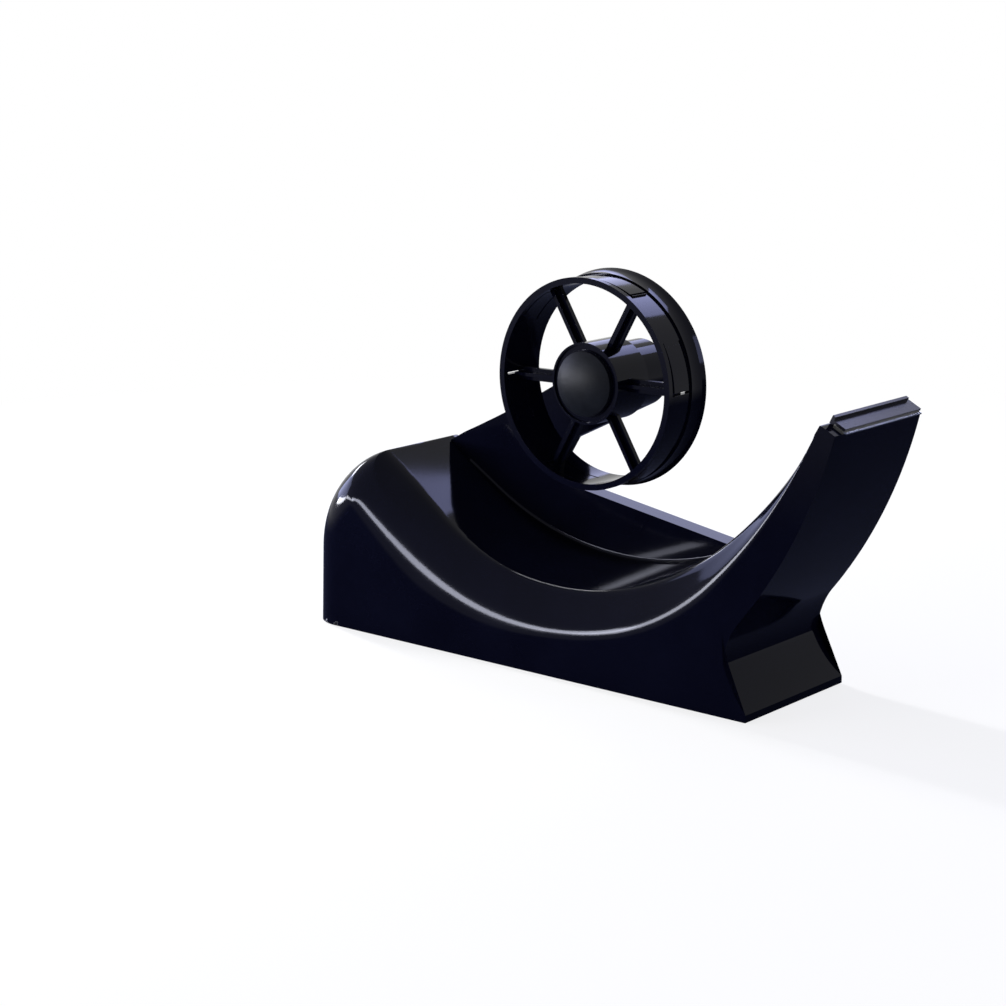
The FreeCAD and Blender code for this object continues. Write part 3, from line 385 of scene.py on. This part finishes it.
def front_columns():
    """Columns that start on the front: most end on the ramp's rim, and the last ones on the nose's top."""
    outline = front_outline()
    lengths = [0.0]
    for start, end in zip(outline, outline[1:]):
        lengths.append(lengths[-1] + math.dist(start, end))
    columns = []
    for low, length in zip(outline[1:], lengths[1:]):
        share = length / lengths[-1]
        if share <= RAMP_SHARE:
            along_ramp = (share / RAMP_SHARE) ** RAMP_CROWDING
            high = (FOOT_TOP_X + (NOSE_BACK[0] - FOOT_TOP_X) * along_ramp, None)
        else:
            high = between(NOSE_BACK, NOSE_FRONT, (share - RAMP_SHARE) / (1 - RAMP_SHARE))
        columns.append((low, high))
    return columns


SIDE_COLUMNS = side_columns()
FRONT_COLUMNS = front_columns()


def near_column(low, high):
    """Points up the near side, from its lower edge to the rim."""
    column = []
    for share in spread(0, 1, SIDE_STEPS):
        x, z = between(low, high, share)
        column.append(trimmed((x, near_y(x, z, -side_y(z)), z)))
    return column


def far_column(low, high, steps):
    """Points up the far side."""
    column = []
    for share in spread(0, 1, steps):
        x, z = between(low, high, share)
        column.append((x, side_y(z), z))
    return column


def floor_row(x, top, near):
    """Points across the floor from the near side's end to the far wall, with the arm panel's fillet.

    Where a top is given, they lie level at that height, on the nose's top.
    """
    ends = min(x - FILLET_START_X, FILLET_END_X - x) / FILLET_FADE
    fillet_height = FILLET * min(max(ends, 0.0), 1.0)
    stops = [(near + step, 0.0) for step in RIM_STEPS]
    stops += [(y, 0.0) for y in spread(near + FLOOR_START, PANEL_Y - FILLET, FLOOR_STEPS)]
    for angle in spread(0.0, math.pi / 2, FILLET_STEPS)[1:]:
        stops.append((PANEL_Y - FILLET + FILLET * math.sin(angle), fillet_height * (1 - math.cos(angle))))
    stops += [(PANEL_Y + FILLET_TUCK, 0.0), (WALL_Y, 0.0)]
    return [trimmed((x, y, floor_z(x, y) + lift if top is None else top)) for y, lift in stops]


def wall_row(x, top):
    """Points across the far wall's top, or across the nose's top where a top is given."""
    if top is None:
        return [(x, y, crest_z(x, y)) for y in spread(WALL_Y, side_y(crest_z(x, WALL_Y)), WALL_STEPS)]
    return [(x, y, top) for y in spread(WALL_Y, side_y(top), WALL_STEPS)]


def seam(rows, next_rows):
    """Strip that closes the step between the last points of some rows and the first of the next ones."""
    return [[row[-1] for row in rows], [row[0] for row in next_rows]]


def add_body(sheet):
    """Near side, floor, far wall's top and far side, from the tail's centre to the tip of the nose."""
    near_rows, floor_rows, wall_rows, far_rows = [], [], [], []
    for low, (x, top) in SIDE_COLUMNS + FRONT_COLUMNS:
        rim = floor_z(x, rim_y(x)) if top is None else top
        near = near_column(low, (x, rim))
        wall = wall_row(x, top)
        near_end_y, wall_end_z = near[-1][1], wall[-1][2]
        near_rows.append(near)
        floor_rows.append(floor_row(x, top, near_end_y))
        wall_rows.append(wall)
        far_rows.append(far_column(low, (x, wall_end_z), FAR_STEPS))
    for rows in (near_rows, floor_rows, wall_rows, far_rows, seam(floor_rows, wall_rows)):
        sheet.grid(rows)


def add_front(sheet):
    """Front of the foot and nose, from the near side to the far side."""
    rows = []
    for (x, z), _ in SIDE_COLUMNS[-1:] + FRONT_COLUMNS:
        rows.append([(x, y, z) for y in spread(near_y(x, z, -side_y(z)), side_y(z), FRONT_STEPS)])
    sheet.grid(rows)


def tail_spot(section, distance):
    """X and Z at a distance from the tail's centre, along a section (across, up, level).

    A section without a level is a ray from the centre. The others are level lines below it.
    """
    across, up, level = section
    z = TAIL_CENTRE[1] + distance * up if level is None else level
    return TAIL_CENTRE[0] + distance * across, z


def tail_point(point):
    """A point of the tail, kept under the floor, behind the shoulder and under the rounded rim."""
    x, y, z = point
    z = min(z, floor_z(x, y))
    y = near_y(x, z, y)
    return trimmed((x, y, min(z, floor_z(x, y))))


def tail_row(section):
    """Points along a section of the tail: near side, its rounding, and the top up to the far wall."""
    flat = TAIL_RADIUS - ROLL_RADIUS
    row = []
    for distance in spread(0.0, flat, TAIL_FLAT_STEPS):
        x, z = tail_spot(section, distance)
        row.append((x, -side_y(z), z))
    for angle in spread(0.0, math.pi / 2, TAIL_ROLL_STEPS)[1:]:
        x, z = tail_spot(section, flat + ROLL_RADIUS * math.sin(angle))
        row.append((x, ROLL_RADIUS * (1 - math.cos(angle)) - side_y(z), z))
    x, z = tail_spot(section, TAIL_RADIUS)
    row += [(x, y, z) for y in spread(row[-1][1], WALL_Y, TAIL_TOP_STEPS)[1:]]
    return [tail_point(point) for point in row]


def add_tail(sheet):
    """Rounded tail: a fan of sections round its centre, then level sections below the centre."""
    sections = []
    for degrees in spread(90.0, 180.0, TAIL_FAN_STEPS):
        angle = math.radians(degrees)
        sections.append((math.cos(angle), math.sin(angle), None))
    sections += [(-1.0, 0.0, z) for z in spread(TAIL_CENTRE[1], BASE_Z, TAIL_LEVEL_STEPS)[1:]]
    tail_rows, wall_rows, far_rows = [], [], []
    for section in sections:
        tail_rows.append(tail_row(section))
        x, z = tail_spot(section, TAIL_RADIUS)
        crest = min(z, wall_z(x))
        wall_rows.append([(x, y, crest) for y in spread(WALL_Y, side_y(crest), WALL_STEPS)])
        far_rows.append(far_column(tail_spot(section, 0.0), (x, crest), TAIL_FAR_STEPS))
    for rows in (tail_rows, wall_rows, far_rows, seam(tail_rows, wall_rows)):
        sheet.grid(rows)


def lower_edge(inset, z):
    """Outline of the shell's lower edge, moved in by an inset, at a height."""
    front, side = FOOT_CORNER[0] - inset, side_y(BASE_Z) - inset
    turn_x, turn_y = TAIL_X + ROLL_RADIUS, ROLL_RADIUS - side_y(BASE_Z)
    radius = ROLL_RADIUS - inset
    outline = [(front, -side)]
    for angle in spread(1.5 * math.pi, math.pi, CORNER_STEPS):
        outline.append((turn_x + radius * math.cos(angle), turn_y + radius * math.sin(angle)))
    outline += [(turn_x - radius, side), (front, side), (front, -side)]
    return [(x, y, z) for x, y in outline]


def add_underside(sheet):
    """Rim under the shell, the low skirt inside it and the face that closes the skin."""
    top = lower_edge(EDGE_WIDTH, SKIRT_TOP_Z)
    middle = (FOOT_CORNER[0] - EDGE_WIDTH, 0.0, SKIRT_TOP_Z)
    sheet.grid([lower_edge(0.0, BASE_Z), lower_edge(EDGE_WIDTH, BASE_Z), top])
    sheet.grid([top, [middle] * len(top)])


def build_shell():
    """The cradle's visible skin as one closed mesh."""
    sheet = Sheet()
    add_body(sheet)
    add_front(sheet)
    add_tail(sheet)
    add_underside(sheet)
    return sheet.build("shell_skin")


def ring(x, y, z, radius):
    """Points of a circle round an axis along Y. The last point is the first again."""
    turns = spread(0.0, 2 * math.pi, RING_STEPS)
    return [(x + radius * math.cos(turn), y, z + radius * math.sin(turn)) for turn in turns]


def sink_recesses(shell):
    """Recesses for the heads of the three screws that hold the arm, on the far side."""
    sheet = Sheet()
    for x, z in RECESS_SPOTS:
        sheet.grid([ring(x, RECESS_FLOOR_Y, z, 0.0), ring(x, RECESS_FLOOR_Y, z, RECESS_RADIUS),
                    ring(x, RECESS_OUT_Y, z, RECESS_RADIUS), ring(x, RECESS_OUT_Y, z, 0.0)])
    rods = sheet.build("recess_rods")
    sink = shell.modifiers.new("recess", "BOOLEAN")
    sink.object = rods
    sink.operation = "DIFFERENCE"
    sink.solver = "EXACT"
    sink.use_hole_tolerant = True
    graph = bpy.context.evaluated_depsgraph_get()
    sunk = bpy.data.meshes.new_from_object(shell.evaluated_get(graph))
    shell.modifiers.clear()
    shell.data = sunk
    bpy.data.objects.remove(rods)
    shade(sunk)


# ---------------------------------------------------------------- materials
class Tree:
    """Node tree of a material or world, with short calls to add nodes."""

    def __init__(self, owner):
        owner.use_nodes = True
        self.nodes = owner.node_tree.nodes
        self.links = owner.node_tree.links

    def put(self, socket, value):
        """Gives an input a plain value, or the output that it follows."""
        if isinstance(value, bpy.types.NodeSocket):
            self.links.new(value, socket)
        else:
            socket.default_value = value

    def add(self, kind, inputs=None, **settings):
        """New node with its settings and inputs."""
        node = self.nodes.new(kind)
        for name, value in settings.items():
            setattr(node, name, value)
        for name, value in (inputs or {}).items():
            self.put(node.inputs[name], value)
        return node

    def combine(self, operation, first, second):
        """Result of a math node on two outputs or numbers."""
        return self.add("ShaderNodeMath", {0: first, 1: second}, operation=operation).outputs[0]

    def remap(self, value, low, high, start=0.0, end=1.0):
        """Goes from low to high while the value goes from start to end."""
        inputs = {"Value": value, "From Min": start, "From Max": end, "To Min": low, "To Max": high}
        return self.add("ShaderNodeMapRange", inputs).outputs["Result"]

    def blend(self, share, first, second):
        """Output of a shader that goes from the first to the second with the share."""
        return self.add("ShaderNodeMixShader", {"Fac": share, 1: first, 2: second}).outputs[0]

    def seen_rays(self):
        """1 for the rays that show the background: camera, glossy and transmission."""
        rays = self.add("ShaderNodeLightPath").outputs
        seen = self.combine("MAXIMUM", rays["Is Camera Ray"], rays["Is Glossy Ray"])
        return self.combine("MAXIMUM", seen, rays["Is Transmission Ray"])


class Look(Tree):
    """Material whose Principled shader is fed by procedural nodes in the piece's own coordinates."""

    def __init__(self, name, stretch=None):
        self.material = bpy.data.materials.new(name)
        super().__init__(self.material)
        self.shader = self.nodes["Principled BSDF"]
        self.place = self.add("ShaderNodeTexCoord").outputs["Object"]
        if stretch:
            mapping = self.add("ShaderNodeMapping", {"Vector": self.place, "Scale": stretch})
            self.place = mapping.outputs["Vector"]

    def complete(self, inputs):
        """Sets the shader's inputs and returns the material."""
        for name, value in inputs.items():
            self.put(self.shader.inputs[name], value)
        return self.material

    def noise(self, scale, detail=4.0, rough=0.55):
        """Noise from 0 to 1 on the piece."""
        inputs = {"Vector": self.place, "Scale": scale, "Detail": detail, "Roughness": rough}
        return self.add("ShaderNodeTexNoise", inputs).outputs["Fac"]

    def tones(self, value, dark, light, low=0.3, high=0.75):
        """Colour that goes from dark to light while the value goes from low to high."""
        node = self.add("ShaderNodeValToRGB", {"Fac": value})
        first, last = node.color_ramp.elements
        first.position, first.color = low, (*dark, 1)
        last.position, last.color = high, (*light, 1)
        return node.outputs["Color"]

    def bump(self, height, strength, distance):
        """Normal of a fine relief; the distance is in m."""
        inputs = {"Height": height, "Strength": strength, "Distance": distance}
        return self.add("ShaderNodeBump", inputs).outputs["Normal"]


def gloss_plastic(name, dark, light, rough, shine):
    """Polished plastic: faint clouds in its colour, smears in its gloss and a painted bluish tint on its
    reflections.
    """
    look = Look(name)
    clouds = look.noise(scale=28.0, detail=5.0)
    smears = look.noise(scale=60.0, detail=6.0, rough=0.6)
    grain = look.noise(scale=900.0, detail=3.0)
    return look.complete({
        "Base Color": look.tones(clouds, dark, light),
        "Roughness": look.remap(smears, *rough),
        "Specular IOR Level": shine,
        # painted reflection: a bluish tint over all its reflections
        "Specular Tint": (0.82, 0.84, 1.0, 1),
        "Normal": look.bump(grain, strength=0.03, distance=0.0001),
    })


def matt_plastic(name, dark, light, grain_scale, rough, depth=0.25, shine=0.5):
    """Grained plastic, whose grain also varies its gloss."""
    look = Look(name)
    clouds = look.noise(scale=120.0)
    grain = look.noise(scale=grain_scale, detail=2.0, rough=0.5)
    return look.complete({
        "Base Color": look.tones(clouds, dark, light, high=0.7),
        "Roughness": look.remap(grain, *rough),
        "Specular IOR Level": shine,
        "Normal": look.bump(grain, depth, distance=0.0002),
    })


def steel(name, colour, rough, stretch):
    """Brushed or plated steel; the stretch draws its grain out along one side."""
    look = Look(name, stretch)
    grain = look.noise(scale=220.0, detail=6.0, rough=0.7)
    darker = [c * 0.82 for c in colour]
    return look.complete({
        "Base Color": look.tones(grain, darker, colour, low=0.25),
        "Roughness": look.remap(grain, *rough),
        "Metallic": 1.0,
        "Normal": look.bump(grain, strength=0.08, distance=0.00005),
    })


def rubber(name, colour):
    """Soft rubber foam with small cells."""
    look = Look(name)
    cells = look.add("ShaderNodeTexVoronoi", {"Vector": look.place, "Scale": 1500.0})
    clouds = look.noise(scale=90.0)
    paler = [c * 1.6 for c in colour]
    return look.complete({
        "Base Color": look.tones(clouds, colour, paler, high=0.8),
        "Roughness": 0.85,
        "Normal": look.bump(cells.outputs["Distance"], strength=0.5, distance=0.0003),
    })


def iron(name):
    """Rough cast iron."""
    look = Look(name)
    lumps = look.noise(scale=300.0, detail=8.0, rough=0.7)
    return look.complete({
        "Base Color": look.tones(lumps, (0.09, 0.09, 0.095), (0.2, 0.2, 0.21)),
        "Metallic": 0.85,
        "Roughness": 0.6,
        "Normal": look.bump(lumps, strength=0.6, distance=0.0004),
    })


def felt(name):
    """Pressed grey felt."""
    look = Look(name)
    fibres = look.noise(scale=2500.0, detail=8.0, rough=0.8)
    return look.complete({
        "Base Color": look.tones(fibres, (0.05, 0.05, 0.05), (0.16, 0.16, 0.16), high=0.8),
        "Roughness": 0.95,
        "Sheen Weight": 0.4,
        "Normal": look.bump(fibres, strength=0.8, distance=0.0003),
    })


INK_DARK, INK_LIGHT = (0.0009, 0.001, 0.0034), (0.0016, 0.0018, 0.0055)
BODY = gloss_plastic("body_gloss", INK_DARK, INK_LIGHT, rough=(0.06, 0.10), shine=0.06)
ARM = gloss_plastic("arm_gloss", INK_DARK, INK_LIGHT, rough=(0.07, 0.11), shine=0.06)
WHEEL = gloss_plastic("wheel_gloss", INK_DARK, INK_LIGHT, rough=(0.07, 0.11), shine=0.08)
HOLDER = gloss_plastic("holder_gloss", (0.004, 0.004, 0.008), (0.007, 0.007, 0.013),
                       rough=(0.22, 0.32), shine=0.15)
CAP = matt_plastic("cap_grain", (0.0025, 0.003, 0.005), (0.005, 0.006, 0.009),
                   grain_scale=2600.0, rough=(0.38, 0.5), shine=0.07)
PLATE = matt_plastic("plate_plastic", (0.018, 0.018, 0.022), (0.028, 0.028, 0.034),
                     grain_scale=1500.0, rough=(0.45, 0.6))
BUSH = matt_plastic("bush_plastic", (0.55, 0.53, 0.46), (0.66, 0.64, 0.56),
                    grain_scale=1200.0, rough=(0.35, 0.5), depth=0.1)
BLADE = steel("blade_steel", (0.80, 0.80, 0.78), rough=(0.16, 0.3), stretch=(400, 4, 400))
ZINC = steel("zinc_steel", (0.62, 0.62, 0.64), rough=(0.25, 0.4), stretch=(8, 8, 8))
DARK_STEEL = steel("dark_zinc", (0.22, 0.22, 0.24), rough=(0.3, 0.42), stretch=(8, 8, 8))
PAD = rubber("pad_foam", (0.035, 0.035, 0.04))
IRON = iron("cast_iron")
FELT = felt("pressed_felt")

NODE_LOOKS = {                 # material, and width in mm of the edge rounding
    "wheel_arm": (ARM, 0.35),
    "arm_screws": (DARK_STEEL, 0.15),
    "base_plate": (PLATE, 0.2),
    "base_screws": (ZINC, 0),
    "non_slip_pad": (PAD, 0.2),
    "rear_weight": (IRON, 0.6),
    "front_weight": (IRON, 0.6),
    "weight_screws": (ZINC, 0),
    "wheel_spindle": (ZINC, 0.2),
    "spindle_bolt": (DARK_STEEL, 0.2),
    "spindle_bolt_washer": (ZINC, 0.1),
    "tape_wheel": (WHEEL, 0.22),
    "hub_cap": (CAP, 0.3),
    "front_bush": (BUSH, 0.1),
    "rear_bush": (BUSH, 0.1),
    "felt_washer": (FELT, 0.1),
    "drag_spring": (ZINC, 0),
    "retaining_washer": (ZINC, 0.1),
    "retaining_screw": (ZINC, 0.15),
    "blade_holder": (HOLDER, 0.2),
    "blade": (BLADE, 0),
}
WELD_DISTANCE = 0.000001       # m


def dress(name, material, edge):
    """Gives a CAD node its material, smooth shading and, where a width is given, rounded edges."""
    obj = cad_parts[name]
    obj.data.materials.clear()
    obj.data.materials.append(material)
    if "custom_normal" in obj.data.attributes:
        obj.data.attributes.remove(obj.data.attributes["custom_normal"])
    obj.data.shade_smooth()
    weld = obj.modifiers.new("weld", "WELD")
    weld.merge_threshold = WELD_DISTANCE
    if edge:
        round_edges(obj, edge, NODE_EDGE_STEPS, NODE_EDGE_ANGLE)
    else:
        split = obj.modifiers.new("split", "EDGE_SPLIT")
        split.split_angle = math.radians(NODE_EDGE_ANGLE)


for node, (material, edge) in NODE_LOOKS.items():
    dress(node, material, edge)

shell = build_shell()
sink_recesses(shell)
shell.data.materials.append(BODY)
round_edges(shell, SHELL_EDGE, SHELL_EDGE_STEPS, SHELL_EDGE_ANGLE)
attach(shell, "cradle")
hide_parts("body_shell")


# ---------------------------------------------------------------- stage, lights and camera, in m
STAGE_HALF = 25.0
SHADOW_NEAR, SHADOW_FAR = 0.2, 0.6     # the object's shadow fades out between these distances
SHADOW_GLOW = 0.8                      # nearer, the camera sees this share of the floor's own light
GLOSS_SHADE_NEAR, GLOSS_SHADE_FAR = 0.35, 0.7        # painted shade: the dim floor that gloss sees near the object fades to white between these
# painted shade: colour of the floor near the object as gloss sees it, dim and bluish
GLOSS_SHADE_COLOUR = (0.07, 0.08, 0.14, 1)
WHITE = (1, 1, 1, 1)
MIX_FIRST, MIX_SECOND, MIX_RESULT = 6, 7, 2     # a Mix node's sockets for colours


def stage_white():
    """Material of the floor: lit white, mixed with its own light for the rays that show the background.

    The camera sees less of the own light near the object, so that the object's shadow stays. Gloss sees
    painted shade on the floor near the object: dim and bluish, as a dark card laid there would make it.
    """
    look = Look("stage_white")
    distance = look.add("ShaderNodeVectorMath", {0: look.place}, operation="LENGTH").outputs["Value"]
    camera = look.add("ShaderNodeLightPath").outputs["Is Camera Ray"]
    # painted shade: near the object gloss sees the floor dim and bluish, fading to white farther out
    past_gloss_shade = look.remap(distance, 0.0, 1.0, GLOSS_SHADE_NEAR, GLOSS_SHADE_FAR)
    plain = look.combine("MAXIMUM", camera, past_gloss_shade)
    tint = look.add("ShaderNodeMix", {"Factor": plain, MIX_FIRST: GLOSS_SHADE_COLOUR, MIX_SECOND: WHITE},
                    data_type="RGBA")
    glow = look.add("ShaderNodeEmission", {"Color": tint.outputs[MIX_RESULT], "Strength": 1.0})
    past_shadow = look.remap(distance, SHADOW_GLOW, 1.0, SHADOW_NEAR, SHADOW_FAR)
    share = look.combine("MAXIMUM", look.combine("SUBTRACT", 1.0, camera), past_shadow)
    share = look.combine("MULTIPLY", look.seen_rays(), share)
    surface = look.blend(share, look.shader.outputs[0], glow.outputs[0])
    look.put(look.nodes["Material Output"].inputs["Surface"], surface)
    return look.complete({"Base Color": (0.9, 0.9, 0.9, 1), "Roughness": 0.9, "Specular IOR Level": 0.1})


def stage_floor():
    """Plain pale floor under the object."""
    half = STAGE_HALF
    corners = [(-half, -half, 0), (half, -half, 0), (half, half, 0), (-half, half, 0)]
    floor = mesh_object("stage_floor", corners, [(0, 1, 2, 3)], scale=1.0)
    floor.data.materials.append(stage_white())


def studio_world():
    """Soft light all round, and plain white for the rays that show the background."""
    world = bpy.data.worlds.new("studio")
    tree = Tree(world)
    soft = tree.nodes["Background"]
    tree.put(soft.inputs["Color"], (0.80, 0.82, 0.95, 1))
    tree.put(soft.inputs["Strength"], 0.35)
    white = tree.add("ShaderNodeBackground", {"Color": WHITE, "Strength": 1.0})
    surface = tree.blend(tree.seen_rays(), soft.outputs[0], white.outputs[0])
    tree.put(tree.nodes["World Output"].inputs["Surface"], surface)
    bpy.context.scene.world = world


PLAIN, COOL = (1, 1, 1), (0.94, 0.95, 1.0)
PALE_BLUE, BLUE, DEEP_BLUE = (0.60, 0.64, 1.0), (0.55, 0.60, 1.0), (0.50, 0.54, 1.0)
LAMPS = {                      # place, spot that it faces, width and height, power in W, colour
    "key_top": ((-0.62, 0.14, 0.80), (0, 0, 0.05), (0.05, 0.45), 6.5, PLAIN),
    "front_strip": ((-0.47, -0.86, 0.16), (-0.03, 0, 0.04), (0.50, 0.07), 7.5, COOL),
    "back_left": ((-0.5, 0.8, 0.48), (0, 0, 0.06), (0.5, 0.25), 1.2, DEEP_BLUE),
    "left_box": ((-0.95, -0.1, 0.24), (-0.05, 0, 0.05), (0.60, 0.30), 4.5, BLUE),
    "left_strip": ((-0.90, -0.24, 0.09), (0.05, 0, 0.05), (0.30, 0.04), 2.5, COOL),
    "left_window": ((-0.92, 0.16, 0.34), (-0.09, -0.01, 0.06), (0.25, 0.10), 2.5, COOL),
    "side_strip": ((-0.77, -0.61, 0.12), (0.06, -0.03, 0.05), (0.45, 0.06), 5.0, COOL),
    "right_box": ((0.9, 0.2, 0.5), (0.05, 0, 0.07), (0.2, 0.4), 2.0, PALE_BLUE),
    "back_top": ((0.02, 0.78, 0.76), (0.08, 0, 0.1), (0.35, 0.2), 2.0, DEEP_BLUE),
}
CAMERA_PLACE, CAMERA_TARGET = (0.51155, -0.66584, 0.24826), (-0.0752, 0.0384, 0.040)
CAMERA_SENSOR, CAMERA_LENS = 36.0, 85.885       # mm
CAMERA_CLIP = (0.01, 20.0)


def aim(obj, place, target):
    """Puts a lamp or camera in its place, facing a target."""
    obj.location = place
    obj.rotation_euler = (Vector(target) - Vector(place)).to_track_quat("-Z", "Y").to_euler()
    bpy.context.scene.collection.objects.link(obj)


def soft_lamp(name, place, target, size, power, colour):
    """Soft rectangular lamp."""
    data = bpy.data.lights.new(name, "AREA")
    data.shape = "RECTANGLE"
    data.size, data.size_y = size
    data.energy = power
    data.color = colour
    aim(bpy.data.objects.new(name, data), place, target)


def photo_camera():
    """Camera at the photograph's viewing angle."""
    data = bpy.data.cameras.new("camera")
    data.sensor_width = CAMERA_SENSOR
    data.lens = CAMERA_LENS
    data.clip_start, data.clip_end = CAMERA_CLIP
    camera = bpy.data.objects.new("camera", data)
    aim(camera, CAMERA_PLACE, CAMERA_TARGET)
    bpy.context.scene.camera = camera


stage_floor()
studio_world()
for name, settings in LAMPS.items():
    soft_lamp(name, *settings)
photo_camera()
bpy.context.scene.view_settings.view_transform = "Standard"

bpy.context.view_layer.update()
